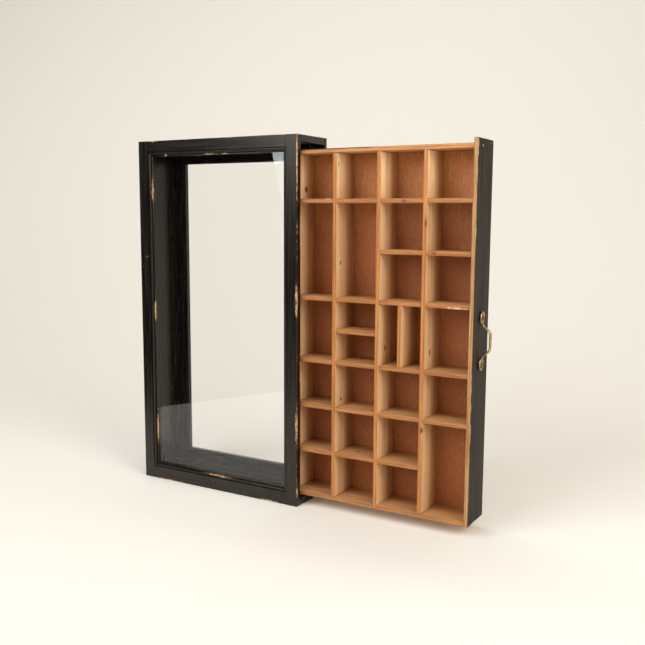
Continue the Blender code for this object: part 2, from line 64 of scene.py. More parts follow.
class Finish:
    """A finish in the making: its material, its shader and short ways to add a node."""

    def __init__(self, name, roughness=0.5, metallic=0.0):
        self.material = bpy.data.materials.new(name)
        self.material.use_nodes = True
        self.tree = self.material.node_tree
        self.shader = self.tree.nodes["Principled BSDF"]
        self.set("Roughness", roughness)
        self.set("Metallic", metallic)
        self.place = self.tree.nodes.new("ShaderNodeTexCoord").outputs["Object"]

    def feed(self, socket, value):
        """Feed an input from another node's output, or set it to a plain value."""
        if isinstance(value, bpy.types.NodeSocket):
            self.tree.links.new(value, socket)
        elif socket.type == "RGBA":
            socket.default_value = (*value, 1.0)
        else:
            socket.default_value = value

    def set(self, key, value):
        """Feed one of the shader's inputs."""
        self.feed(self.shader.inputs[key], value)

    def step(self, kind, feeds, output=0, **settings):
        """Add one node with its settings and inputs, and give back one of its outputs."""
        node = self.tree.nodes.new(kind)
        for key, value in settings.items():
            setattr(node, key, value)
        for key, value in feeds.items():
            self.feed(node.inputs[key], value)
        return node.outputs[output]

    def calc(self, how, a, b):
        return self.step("ShaderNodeMath", {0: a, 1: b}, operation=how)

    def add(self, a, b):
        return self.calc("ADD", a, b)

    def less(self, a, b):
        return self.calc("SUBTRACT", a, b)

    def times(self, a, b):
        return self.calc("MULTIPLY", a, b)

    def most(self, a, b):
        return self.calc("MAXIMUM", a, b)

    def least(self, a, b):
        return self.calc("MINIMUM", a, b)

    def size_of(self, value):
        """A number without its sign."""
        return self.calc("ABSOLUTE", value, 0.0)

    def between(self, value, low, high):
        """0 below low, 1 above high, smooth between."""
        return self.step("ShaderNodeMapRange", {"Value": value, "From Min": low, "From Max": high},
                         interpolation_type="SMOOTHSTEP")

    def span(self, value, low, high):
        """A 0 to 1 value spread over low to high."""
        return self.step("ShaderNodeMapRange", {"Value": value, "To Min": low, "To Max": high})

    def swing(self, noise, reach):
        """A 0 to 1 noise swung about zero."""
        return self.times(self.less(noise, 0.5), reach)

    def vector(self, how, a, b):
        return self.step("ShaderNodeVectorMath", {0: a, 1: b}, operation=how)

    def turned(self, scale, shift=(0.0, 0.0, 0.0), turn=(0.0, 0.0, 0.0)):
        """The place on the object, turned, scaled and shifted."""
        return self.step("ShaderNodeMapping", {"Vector": self.place, "Scale": scale,
                                               "Location": shift, "Rotation": turn})

    def noise(self, place, scale, detail=3.0, rough=0.5, swirl=0.0):
        return self.step("ShaderNodeTexNoise", {"Vector": place, "Scale": scale, "Detail": detail,
                                                "Roughness": rough, "Distortion": swirl})

    def mix(self, share, under, over, how="MIX"):
        return self.step("ShaderNodeMix", {MIX_SHARE: share, MIX_UNDER: under, MIX_OVER: over},
                         MIX_RESULT, data_type="RGBA", blend_type=how)

    def lay(self, under, where, share, over):
        """Lay a colour over another, where a 0 to 1 value says, at a share of full strength."""
        return self.mix(self.times(where, share), under, over)

    def tint(self, under, where, share, by):
        """Multiply a colour by another, where a 0 to 1 value says, at a share of full strength."""
        return self.mix(self.times(where, share), under, by, "MULTIPLY")

    def axes(self, vector=None):
        """The three numbers of a vector, or else of the place on the object."""
        split = self.tree.nodes.new("ShaderNodeSeparateXYZ")
        self.feed(split.inputs[0], vector or self.place)
        return split.outputs

    def facing(self):
        """The surface's own direction, as three numbers."""
        return self.axes(self.tree.nodes.new("ShaderNodeNewGeometry").outputs["Normal"])

    def near(self, centre, size):
        """1 at a spot's centre, 0 at its rim, and below 0 outside it; sizes in millimetres."""
        away = self.vector("SUBTRACT", self.place, [c * MM for c in centre])
        away = self.vector("DIVIDE", away, [s * MM for s in size])
        away = self.step("ShaderNodeVectorMath", {0: away}, "Value", operation="LENGTH")
        return self.less(1.0, away)

    def raise_by(self, height, distance, strength):
        return self.step("ShaderNodeBump", {"Height": height, "Distance": distance,
                                            "Strength": strength})

    def done(self, colour, roughness=None, relief=None):
        self.set("Base Color", colour)
        if roughness:
            self.set("Roughness", roughness)
        if relief:
            self.set("Normal", relief)
        return self.material


EVEN = (1.0, 1.0, 1.0)
GRAIN_STRETCH = 0.035
WARM_SHEEN = (1.0, 0.90, 0.78)

CASE_BLACK = (0.0075, 0.0066, 0.0056)
STAIN_ROUND_RUBS = (0.040, 0.022, 0.012)
BARE_DARK = (0.50, 0.26, 0.12)
BARE_PALE = (0.72, 0.45, 0.25)
END_PAINT_DARK = (0.0065, 0.0052, 0.0038)
END_PAINT_PALE = (0.036, 0.0285, 0.021)
END_PAINT_DRIFT = (0.032, 0.025, 0.018)
TOP_PAINT = (0.016, 0.014, 0.012)

EARLY_WOOD = (0.66, 0.395, 0.185)
LATE_WOOD = (0.52, 0.245, 0.085)
FIBRE_BROWN = (0.34, 0.15, 0.05)
CLOUD_BROWN = (0.558, 0.3348, 0.1767)
KNOT_RIM = (0.26, 0.085, 0.028)
KNOT_HEART = (0.13, 0.040, 0.014)
PALE_CHIP = (0.80, 0.60, 0.40)
DULL_CHIP = (0.66, 0.47, 0.30)

# Tones that multiply the pine's own colour
OILED_UPRIGHT = (0.80, 0.51, 0.205)
OILED_LEVEL = (0.64, 0.41, 0.20)
OILED_TRAY_TOP = (0.88, 0.64, 0.34)
OILED_END_BOARD = (0.68, 0.63, 0.60)
PAINTED_ARRIS_SHADE = (0.50, 0.38, 0.28)
BAND_DARK = (0.64, 0.52, 0.40)
BAND_PALE = (1.30, 1.36, 1.46)
PAINTED_SIDE_LIGHT = (1.26, 1.44, 1.74)
SIDE_PALER_HIGH_UP = (1.30, 1.45, 1.62)
PAINTED_CELL_DEPTH_SHADE = (0.52, 0.36, 0.22)
PAINTED_LYING_FACE_SHADE = (0.74, 0.66, 0.60)

PLY_DARK = (0.25, 0.067, 0.0125)
PLY_PALE = (0.43, 0.138, 0.032)
PLY_CLOUD = (0.32, 0.088, 0.024)
PLY_PORE = (0.10, 0.028, 0.010)
PLY_RIDGE = (0.56, 0.27, 0.12)
PLY_STREAK = (0.66, 0.34, 0.17)
PLY_PALER_HIGH_UP = (1.85, 2.5, 3.5)
PLY_REAR = (0.62, 0.78, 1.0)

BRASS_BRIGHT = (0.58, 0.435, 0.215)
BRASS_PATINA = (0.15, 0.105, 0.052)
BRASS_HOLLOW = (0.10, 0.068, 0.034)
GLASS_MIRROR = (0.96, 0.98, 1.0)

# Where the paint is rubbed through to the pine: centre and half size in millimetres
CASE_RUBS = [
    ((-129.4, -45.0, 599.5), (10.0, 3.0, 1.6)), ((-55.7, -45.5, 599.8), (3.5, 2.0, 1.2)),
    ((-136.2, -41.5, 516.0), (1.3, 3.0, 20.0)), ((-135.8, -41.5, 305.4), (1.3, 3.0, 16.0)),
    ((-135.2, -41.5, 91.7), (1.1, 3.0, 23.0)), ((-104.4, -43.0, 575.5), (2.6, 2.5, 2.2)),
    ((-10.8, -42.5, 574.6), (10.5, 2.5, 1.3)), ((20.7, -42.5, 574.4), (6.5, 2.5, 1.2)),
    ((162.2, -45.9, 560.0), (0.9, 1.5, 44.0)), ((161.6, -45.9, 339.5), (2.3, 1.8, 22.0)),
    ((161.9, -45.5, 136.3), (2.0, 2.0, 24.0)), ((162.8, -45.4, 24.3), (1.3, 1.8, 7.5)),
    ((3.0, -43.2, 26.0), (26.0, 2.6, 1.3)), ((-102.7, -45.6, 0.4), (25.0, 2.0, 1.3)),
    ((111.8, -45.6, 0.8), (17.0, 2.0, 1.6)), ((-148.7, -46.2, 400.9), (1.6, 1.0, 1.3)),
    ((162.8, -36.6, 451.5), (1.5, 1.0, 24.0)), ((162.8, -36.6, 219.1), (1.5, 1.0, 25.0)),
    ((162.9, 45.9, 560.0), (1.0, 1.0, 12.0)), ((-162.6, -45.9, 240.0), (1.0, 1.0, 26.0)),
    ((-162.6, 45.8, 420.0), (1.2, 1.2, 30.0)), ((60.0, 45.9, 599.6), (22.0, 1.4, 1.2)),
    ((-90.0, 45.9, 0.5), (18.0, 1.4, 1.2)), ((128.6, 45.9, 380.0), (1.2, 1.6, 18.0)),
]
TRAY_RUBS = [
    ((451.3, 28.6, 583.3), (1.0, 2.6, 1.4)), ((451.4, -13.8, 573.6), (0.8, 1.4, 1.6)),
    ((451.4, 21.0, 579.3), (0.8, 1.6, 0.8)), ((451.3, -32.7, 572.0), (0.6, 0.9, 13.0)),
    ((451.3, -32.6, 163.1), (0.7, 1.1, 13.0)), ((451.3, -32.7, 199.1), (0.6, 0.8, 5.0)),
    ((451.3, -32.7, 452.0), (0.5, 0.7, 9.0)), ((451.3, 30.4, 60.0), (0.7, 0.8, 10.0)),
    ((451.3, -10.0, 18.6), (0.8, 9.0, 1.0)), ((451.3, 30.4, 400.0), (0.6, 0.7, 14.0)),
]
# Knots in the pine, given in the same way, by the board they are in
KNOTS = {
    "tray_left_board": [((150.6, 1.6, 515.9), (3.0, 5.6, 5.5))],
    "tray_divider_1": [((225.8, -18.0, 401.2), (2.5, 2.8, 4.4)),
                       ((225.8, -13.7, 182.1), (2.5, 2.8, 4.4)),
                       ((225.8, -26.0, 553.0), (2.0, 0.9, 4.5))],
    "tray_divider_2": [((300.9, -10.0, 271.0), (2.5, 3.2, 5.0))],
    "tray_divider_3": [((374.2, -33.0, 155.0), (3.6, 6.0, 5.6)),
                       ((376.3, -11.7, 270.6), (2.4, 3.0, 5.5)),
                       ((374.7, -33.0, 463.8), (2.8, 3.0, 8.5))],
    "shelf_col2_row6": [((268.4, 12.0, 98.9), (7.5, 6.0, 3.5)),
                        ((255.9, -9.9, 98.9), (5.0, 3.4, 2.5))],
    "shelf_col4_row5": [((414.6, 4.9, 173.0), (7.0, 5.0, 3.5))],
    "shelf_col1_row4": [((182.9, 20.0, 247.0), (4.0, 3.0, 2.5))],
    "shelf_col3_row1": [((339.0, -33.0, 496.5), (5.0, 3.0, 3.4))],
    "shelf_col4_row2": [((389.0, -33.0, 420.5), (5.0, 3.0, 3.4))],
}
# Places where a front arris is chipped pale, likewise
CHIPS = {
    "shelf_col1_row1": [((213.4, -33.0, 499.8), (9.0, 2.6, 1.7))],
    "shelf_col4_row3": [((423.7, -33.0, 342.6), (13.0, 2.6, 1.7))],
}


def along(way, share=GRAIN_STRETCH):
    """Scales that draw a pattern out along one axis."""
    return [share if axis == way else 1.0 for axis in "xyz"]


def toned(colour, tone):
    return [c * t for c, t in zip(colour, tone)]


def in_spots(f, spots):
    """How deep in the nearest of some spots a point is."""
    deepest = None
    for centre, size in spots:
        depth = f.near(centre, size)
        deepest = depth if deepest is None else f.most(deepest, depth)
    return deepest


def broken_spots(f, inside, way):
    """Rubbed spots with a ragged rim and crumbs of paint left in them."""
    ragged = f.noise(f.turned(along(way, 0.22)), 620.0, 5.0, 0.7)
    crumbs = f.noise(f.place, 1300.0, 3.0, 0.6)
    broken = f.add(f.swing(ragged, 4.4), f.swing(crumbs, 1.8))
    return f.between(f.add(f.least(inside, 0.30), broken), 0.10, 0.20)


def arris_of_box(f, low, high):
    """How far in from the nearest arris of a box a surface point lies: 0 on it, below 0 inside."""
    ways = []
    for axis, start, end in zip(f.axes(), low, high):
        off = f.size_of(f.less(axis, (start + end) / 2))
        ways.append(f.less(off, (end - start) / 2))
    x, y, z = ways
    return f.most(f.least(x, y), f.most(f.least(y, z), f.least(x, z)))


def worn_arris(f, low, high, patches, reach, depth, ragged):
    """Thin broken lines along a box's arrises, broader where the patches are."""
    crumbs = f.noise(f.place, 640.0, 4.0, 0.7)
    line = f.add(f.add(arris_of_box(f, low, high), f.times(patches, reach)), -depth)
    return f.between(f.add(line, f.swing(crumbs, ragged)), 0.0, 0.12 * MM)


def black_paint(name, way):
    """The case's black paint: brushed along the board, satin, rubbed through at arrises and spots."""
    f = Finish(name)
    brush = f.noise(f.turned(along(way)), 900.0, 5.0, 0.62)
    drift = f.noise(f.place, 16.0, 3.0, 0.55)
    coarse = f.noise(f.turned(along(way)), 260.0, 3.0, 0.5)
    paint = f.mix(f.between(coarse, 0.34, 0.68), toned(CASE_BLACK, (0.55, 0.55, 0.55)),
                  toned(CASE_BLACK, (1.6, 1.6, 1.6)))
    paint = f.lay(paint, f.between(drift, 0.45, 0.75), 0.5, toned(CASE_BLACK, (1.7, 1.5, 1.3)))

    # Rubbed through at spots, in thin broken lines along the case's own arrises, and at specks
    inside = in_spots(f, CASE_RUBS)
    patchy = f.noise(f.turned(EVEN, (0.3, 0.1, 0.7)), 34.0, 4.0, 0.75)
    case_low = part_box("front_stile_left")[0]
    case_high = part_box("back_stile_right")[1]
    arris = worn_arris(f, case_low, case_high, f.between(patchy, 0.38, 0.64), 1.2 * MM,
                       0.55 * MM, 2.6 * MM)
    specks = f.between(f.noise(f.place, 330.0, 1.0, 0.4), 0.80, 0.82)
    worn = f.most(broken_spots(f, inside, way), f.most(arris, specks))
    bare_lines = f.noise(f.turned(along(way)), 700.0, 4.0, 0.6)
    bare = f.mix(f.between(bare_lines, 0.35, 0.7), BARE_DARK, BARE_PALE)
    colour = f.lay(paint, f.between(inside, -0.9, 0.1), 0.7, STAIN_ROUND_RUBS)
    colour = f.mix(worn, colour, bare)

    gloss = f.add(f.span(coarse, 0.16, 0.38), f.times(worn, 0.30))
    height = f.add(f.times(brush, 0.35), f.times(coarse, 0.65))
    height = f.less(height, f.times(worn, 0.9))
    f.set("Specular Tint", WARM_SHEEN)
    return f.done(colour, gloss, f.raise_by(height, 0.14 * MM, 0.6))


def pine(name, node, way, tone, shift, oiled):
    """Planed pine: growth lines and fibres along the board, honey-coloured on its front edge."""
    f = Finish(name, 0.55)
    knots = KNOTS.get(node, ())
    laid = f.turned(along(way), [s * 0.01 for s in shift])
    for centre, size in knots:
        round_knot = f.between(f.near(centre, [s * 2.6 for s in size]), 0.0, 0.8)
        laid = f.vector("ADD", laid, f.times(round_knot, 4.0 * MM))
    lines = f.step("ShaderNodeTexWave", {"Vector": laid, "Scale": 74.0 + 9.0 * (shift[0] % 3),
                                         "Distortion": 9.0, "Detail": 3.0, "Detail Scale": 0.42,
                                         "Detail Roughness": 0.55},
                   "Fac", wave_type="RINGS", rings_direction=way.upper(), wave_profile="SAW")
    fibre = f.noise(f.turned(along(way)), 1500.0, 4.0, 0.6)
    streak = f.noise(f.turned(along(way), [s * 0.013 for s in shift]), 230.0, 3.0, 0.55)
    band = f.noise(f.turned(along(way), [s * 0.017 for s in shift]), 420.0, 3.0, 0.6)
    cloud = f.noise(f.turned(EVEN, [s * 0.02 for s in shift]), 24.0, 2.0, 0.5)
    late = toned(LATE_WOOD, tone)
    colour = f.lay(toned(EARLY_WOOD, tone), f.between(lines, 0.45, 1.0), 0.62, late)
    colour = f.lay(colour, f.between(streak, 0.42, 0.7), 0.40, late)
    colour = f.lay(colour, f.between(fibre, 0.5, 0.8), 0.28, FIBRE_BROWN)
    colour = f.lay(colour, f.between(cloud, 0.3, 0.8), 0.28, CLOUD_BROWN)

    # The front edge has had the most oil and hands; a painted shade line runs along its rounded
    # arrises
    x, y, z = f.facing()
    front = f.between(f.times(y, -1.0), 0.5, 0.9)
    colour = f.tint(colour, front, 0.90, oiled)
    # Painted shade: a darker line along the front edges' rounded arrises, in streaks
    rim = f.between(arris_of_box(f, *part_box(node)), -1.3 * MM, -0.3 * MM)
    colour = f.tint(colour, f.times(rim, front), f.span(streak, 0.1, 0.9), PAINTED_ARRIS_SHADE)
    strong = f.span(front, 0.22, 0.65)
    colour = f.tint(colour, f.between(band, 0.46, 0.60), strong, BAND_DARK)
    colour = f.tint(colour, f.between(band, 0.46, 0.32), strong, BAND_PALE)

    # Painted light: the cells' sides are painted paler
    side = f.between(f.size_of(x), 0.6, 0.9)
    colour = f.tint(colour, side, 0.8, PAINTED_SIDE_LIGHT)
    # The sides are paler still towards the top
    high_up = f.between(f.axes()[2], 470.0 * MM, 550.0 * MM)
    colour = f.tint(colour, side, high_up, SIDE_PALER_HIGH_UP)
    # Painted shade: every face darker the deeper it lies in the cells
    depth = f.between(f.axes()[1], -10.0 * MM, 14.0 * MM)
    colour = f.tint(colour, depth, 0.85, PAINTED_CELL_DEPTH_SHADE)
    # Painted shade: faces lying flat, facing up, are painted darker
    colour = f.tint(colour, f.between(z, 0.6, 0.95), 0.8, PAINTED_LYING_FACE_SHADE)
    for centre, size in knots:
        ring = f.add(f.near(centre, size), f.swing(fibre, 0.5))
        colour = f.mix(f.between(ring, 0.0, 0.35), colour, KNOT_RIM)
        colour = f.mix(f.between(ring, 0.45, 0.8), colour, KNOT_HEART)

    # Small pale chips all over the front edges, and larger ones at their own places
    chips = f.between(f.noise(f.place, 330.0, 2.0, 0.5), 0.755, 0.775)
    colour = f.lay(colour, chips, front, PALE_CHIP)
    if node in CHIPS:
        flakes = broken_spots(f, in_spots(f, CHIPS[node]), way)
        colour = f.mix(flakes, colour, DULL_CHIP)
    height = f.add(f.times(fibre, 0.5), f.times(lines, 0.5))
    return f, colour, f.span(fibre, 0.48, 0.66), f.raise_by(height, 0.10 * MM, 0.5)


def pine_board(node, way, tone, shift):
    f, colour, gloss, relief = pine("pine_" + node, node, way, tone, shift,
                                   OILED_UPRIGHT if way == "z" else OILED_LEVEL)
    return f.done(colour, gloss, relief)


def tray_top_pine():
    """The tray's top board: pine, with black paint on its outer face.

    The paint comes a little over the front edge beside the case.
    """
    f, colour, gloss, relief = pine("pine_tray_top", "tray_top_board", "x", EVEN, (4, 2, 7),
                                   OILED_TRAY_TOP)
    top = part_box("tray_top_board")[1].z
    ragged = f.noise(f.turned(along("x")), 300.0, 4.0, 0.6)
    line = f.add(f.axes()[2], f.swing(ragged, 0.9 * MM))
    wrap = f.times(f.between(f.axes()[0], 300.0 * MM, 270.0 * MM), 1.3 * MM)
    painted = f.between(f.add(line, wrap), top - 0.35 * MM, top - 0.15 * MM)
    return f.done(f.mix(painted, colour, TOP_PAINT), gloss, relief)


def end_board_finish():
    """The tray's end board: bare pale pine in front and inside, brown-black paint outside."""
    f, colour, gloss, relief = pine("end_board", "tray_end_board", "z", (1.0, 1.04, 1.10),
                                   (9, 5, 3), OILED_END_BOARD)
    low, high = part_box("tray_end_board")
    f.set("Specular IOR Level", 0.14)
    f.set("Specular Tint", WARM_SHEEN)
    brush = f.noise(f.turned(along("z", 0.05)), 130.0, 6.0, 0.78)
    drift = f.noise(f.place, 18.0, 3.0, 0.55)
    paint = f.mix(f.between(brush, 0.38, 0.64), END_PAINT_DARK, END_PAINT_PALE)
    paint = f.lay(paint, f.between(drift, 0.45, 0.8), 0.5, END_PAINT_DRIFT)

    # Painted on the outside, the back and the top, up to a ragged line just round their arrises
    x, y, z = f.axes()
    wobble = f.swing(f.noise(f.turned(along("z", 0.2)), 330.0, 5.0, 0.7), 1.0 * MM)
    outside = f.between(f.add(x, wobble), high.x - 0.42 * MM, high.x - 0.28 * MM)
    behind = f.between(f.add(y, wobble), high.y - 0.5 * MM, high.y - 0.3 * MM)
    above = f.between(f.add(z, wobble), high.z - 0.5 * MM, high.z - 0.3 * MM)
    painted = f.most(outside, f.most(behind, above))
    patchy = f.noise(f.turned(along("z", 0.6), (0.3, 0.1, 0.7)), 40.0, 4.0, 0.75)
    arris = worn_arris(f, low, high, f.between(patchy, 0.42, 0.66), 1.0 * MM, 0.35 * MM, 2.2 * MM)
    bare = f.most(broken_spots(f, in_spots(f, TRAY_RUBS), "z"), arris)
    painted = f.times(painted, f.less(1.0, bare))
    gloss = f.mix(painted, gloss, f.span(brush, 0.44, 0.66))
    height = f.add(brush, f.times(painted, 0.8))
    return f.done(f.mix(painted, colour, paint), gloss, f.raise_by(height, 0.10 * MM, 0.5))


def stained_plywood():
    """The tray's back: rotary-cut plywood, stained reddish brown, with short dark pores."""
    f = Finish("stained_plywood", 0.6)
    grain = f.noise(f.turned(along("z", 0.20)), 620.0, 6.0, 0.68, 0.8)
    pores = f.noise(f.turned(along("z", 0.20)), 760.0, 3.0, 0.6)
    cloud = f.noise(f.turned(along("z", 0.5)), 22.0, 4.0, 0.6)
    figure = f.noise(f.turned(along("z", 0.16), turn=(0.0, math.radians(38), 0.0)), 150.0, 4.0, 0.6)
    dark_pores = f.between(pores, 0.60, 0.72)
    colour = f.mix(f.between(grain, 0.28, 0.72), PLY_DARK, PLY_PALE)
    colour = f.lay(colour, f.between(cloud, 0.4, 0.75), 0.45, PLY_CLOUD)
    colour = f.lay(colour, dark_pores, 0.55, PLY_PORE)
    colour = f.lay(colour, f.between(pores, 0.40, 0.28), 0.30, PLY_RIDGE)
    # Paler towards the top, with slanted figure streaks there
    upper_part = f.between(f.axes()[2], 430.0 * MM, 550.0 * MM)
    colour = f.tint(colour, upper_part, 0.9, PLY_PALER_HIGH_UP)
    colour = f.lay(colour, f.between(figure, 0.50, 0.66), f.times(upper_part, 0.5), PLY_STREAK)
    rear = f.between(f.facing()[1], 0.5, 0.9)
    colour = f.tint(colour, rear, 0.75, PLY_REAR)
    height = f.less(grain, f.times(dark_pores, 0.5))
    return f.done(colour, f.span(grain, 0.50, 0.68), f.raise_by(height, 0.10 * MM, 0.5))


def antique_brass():
    """Cast brass, rubbed bright on its rims and grip and dark in its hollows."""
    f = Finish("antique_brass", 0.35, 1.0)
    face_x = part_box("pull_handle")[0].x
    cast = f.noise(f.place, 420.0, 4.0, 0.6)
    patina = f.noise(f.place, 150.0, 4.0, 0.65)
    colour = f.mix(f.between(patina, 0.40, 0.72), BRASS_BRIGHT, BRASS_PATINA)
    hollow = f.between(f.axes()[0], face_x + 2.7 * MM, face_x + 1.5 * MM)
    colour = f.lay(colour, hollow, 0.85, BRASS_HOLLOW)
    gloss = f.add(f.span(cast, 0.26, 0.42), f.times(hollow, 0.08))
    return f.done(colour, gloss, f.raise_by(cast, 0.10 * MM, 0.5))


def window_glass():
    """A clear pane: it mirrors at a slant and lets the rest through."""
    f = Finish("window_glass", 0.0, 1.0)
    slant = f.step("ShaderNodeLayerWeight", {"Blend": 0.5}, "Facing")
    sheen = f.times(f.calc("POWER", slant, 5.0), 0.95)
    f.set("Alpha", f.add(sheen, 0.041))
    return f.done(GLASS_MIRROR)


def runs_level(name):
    """Whether a piece of the case runs across it, with its grain and brush marks."""
    return ("rail" in name or "board" in name or name.startswith(("runner", "kicker"))
            or name.endswith(("top", "bottom")))


def dress(name, material):
    nodes[name].data.materials.clear()
    nodes[name].data.materials.append(material)


# The pine boards differ a little in tone
TONES = [(1.0, 1.0, 1.0), (0.95, 0.94, 0.90), (1.05, 1.06, 1.08), (0.98, 0.95, 0.88),
         (1.03, 1.0, 0.94), (0.92, 0.90, 0.88)]

upright_paint = black_paint("black_paint_upright", "z")
level_paint = black_paint("black_paint_level", "x")
for name in case_nodes:
    dress(name, level_paint if runs_level(name) else upright_paint)
dress("glass_pane", window_glass())
for count, name in enumerate(tray_nodes):
    if name in ("tray_end_board", "tray_back_panel", "tray_top_board", "pull_handle"):
        continue
    way = "z" if "divider" in name or name == "tray_left_board" else "x"
    shift = (count * 3.7 % 11, count * 5.3 % 13, count * 2.9 % 7)
    dress(name, pine_board(name, way, TONES[count % len(TONES)], shift))
dress("tray_top_board", tray_top_pine())
dress("tray_end_board", end_board_finish())
dress("tray_back_panel", stained_plywood())
brass = antique_brass()


# New pieces: the mouldings and the pull stand for nodes of the CAD, the caps and screws are extra

WELD = 0.002 * MM
SLACK = 0.01 * MM

GLAZING_TURNS = {"front_moulding_left": 0.0, "front_moulding_right": math.pi,
                 "front_moulding_top": math.pi / 2, "front_moulding_bottom": -math.pi / 2}
OUTER_BEAD_R = 2.2 * MM
INNER_BEAD_R = 1.5 * MM
BEAD_DROP = 2.9 * MM
BEAD_STEPS = 20

CUP_LENGTH = 19.0 * MM
CUP_WIDTH = 16.5 * MM
CUP_DEPTH = 3.2 * MM
CUP_SEGMENTS = 32
CUP_FULL_END = 1.16
CUP_SLIM_END = 0.84
CUP_OFFSET = 0.08 * CUP_LENGTH
CUP_DISH_OFFSET = 0.1 * CUP_LENGTH
# How a cup grows ring by ring: its rise as a share of its depth, and its size against its outline
CUP_RINGS = [(0.50, 1.0), (0.32, 0.95), (0.14, 0.88), (-0.04, 0.82), (-0.26, 0.70), (-0.26, 0.46),
             (-0.08, 0.20)]

BOW_THICK = 3.7 * MM
BOW_WIDE = 6.0 * MM
BOW_SEGMENTS = 24
GRIP_HALF = 9.6 * MM
GRIP_STEPS = 3
GRIP_BEND_R = 8.2 * MM
GRIP_BEND = math.radians(53)
GRIP_BEND_STEPS = 9
LEG_LENGTH = 6.9 * MM
LEG_STEPS = 4
LEG_TAPER = 0.93
FOOT_BEND_R = 5.0 * MM
FOOT_BEND = math.radians(30)
FOOT_BEND_STEPS = 7
FOOT_LENGTH = 3.6 * MM

SCREW_R = 2.3 * MM
SCREW_THICK = 0.9 * MM
SCREW_SEGMENTS = 40
SCREW_SLOT = 0.35 * MM
SCREW_SLOT_DEPTH = 0.4 * MM
SCREW_EASE = 0.12 * MM
SCREW_INSET = 0.48 * CUP_LENGTH
SCREW_RISE = 0.42 * CUP_DEPTH
UPPER_SCREW_TURN = math.radians(25)
LOWER_SCREW_TURN = math.radians(70)

CAP_WIDTH = 15.0 * MM
CAP_HEIGHT = 27.0 * MM
CAP_DEPTH = 4.0 * MM
CAP_WALL = 1.2 * MM
CAP_EASE = 0.6 * MM
KEYHOLE_X = 83.0 * MM
KEYHOLE_DROP = 22.0 * MM


def deselect():
    for obj in bpy.context.selected_objects:
        obj.select_set(False)


def edit(obj, select="SELECT"):
    """Open an object for editing with everything or nothing selected."""
    deselect()
    obj.select_set(True)
    bpy.context.view_layer.objects.active = obj
    bpy.ops.object.mode_set(mode="EDIT")
    bpy.ops.mesh.select_mode(type="VERT")
    bpy.ops.mesh.select_all(action=select)


def pick(obj, wanted):
    """Select the points that a rule picks, and go on editing."""
    bpy.ops.mesh.select_all(action="DESELECT")
    bpy.ops.object.mode_set(mode="OBJECT")
    for vertex in obj.data.vertices:
        vertex.select = wanted(vertex.co)
    bpy.ops.object.mode_set(mode="EDIT")


def grow(value):
    bpy.ops.mesh.extrude_region_move(TRANSFORM_OT_translate={"value": value})


def resize(size, centre):
    bpy.ops.transform.resize(value=size, center_override=centre)


def weld():
    bpy.ops.mesh.select_all(action="SELECT")
    bpy.ops.mesh.remove_doubles(threshold=WELD)


def close_up(sharp=35):
    """Weld, turn the faces outwards and shade the round parts smooth."""
    weld()
    bpy.ops.mesh.normals_make_consistent(inside=False)
    bpy.ops.object.mode_set(mode="OBJECT")
    bpy.ops.object.shade_smooth_by_angle(angle=math.radians(sharp))


def settle():
    """Put an object's place, turn and scale into its points."""
    bpy.ops.object.transform_apply(location=True, rotation=True, scale=True)


def apply_modifiers(obj):
    for modifier in list(obj.modifiers):
        bpy.ops.object.modifier_apply(modifier=modifier.name)


def ease(obj, width):
    """Round an object's arrises a little."""
    bevel = obj.modifiers.new("ease", "BEVEL")
    bevel.width = width
    bevel.segments = 3
    apply_modifiers(obj)


def finish_piece(obj, name, node, material):
    """Name a piece, dress it and let it stand for its node on the node's body."""
    obj.name = name
    obj.data.materials.clear()
    obj.data.materials.append(material)
    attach(obj, "tray" if node in tray_nodes else "case")
    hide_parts(node)


def glazing_moulding(node, turn):
    """One side of the moulding: two half-round beads, the inner one deeper, mitred at both ends."""
    low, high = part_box(node)
    size = high - low
    middle = (low + high) / 2
    length = max(size.x, size.z)
    deselect()
    bpy.ops.mesh.primitive_plane_add(size=OUTER_BEAD_R)
    obj = bpy.context.object
    edit(obj)
    bpy.ops.mesh.merge(type="CENTER")
    bpy.ops.transform.translate(value=(0.0, size.y, -length / 2))
    grow((0.0, OUTER_BEAD_R - size.y, 0.0))
    bpy.ops.mesh.spin(steps=BEAD_STEPS, angle=-math.pi, axis=(0.0, 0.0, 1.0),
                      center=(OUTER_BEAD_R, OUTER_BEAD_R, 0.0))
    grow((0.0, BEAD_DROP, 0.0))
    bpy.ops.mesh.spin(steps=BEAD_STEPS, angle=-math.pi, axis=(0.0, 0.0, 1.0),
                      center=(2 * OUTER_BEAD_R + INNER_BEAD_R, OUTER_BEAD_R + BEAD_DROP, 0.0))
    grow((0.0, size.y - OUTER_BEAD_R - BEAD_DROP, 0.0))
    weld()
    bpy.ops.mesh.edge_face_add()
    grow((0.0, 0.0, length))
    for end in (1.0, -1.0):
        bpy.ops.mesh.select_all(action="SELECT")
        bpy.ops.mesh.bisect(plane_co=(0.0, 0.0, end * length / 2), plane_no=(1.0, 0.0, end),
                            use_fill=True, clear_outer=True)
    close_up()
    obj.rotation_euler = (0.0, turn, 0.0)
    obj.location = {"left": (low.x, low.y, middle.z), "right": (high.x, low.y, middle.z),
                    "top": (middle.x, low.y, high.z),
                    "bottom": (middle.x, low.y, low.z)}[node.rsplit("_", 1)[1]]
    settle()
    return obj


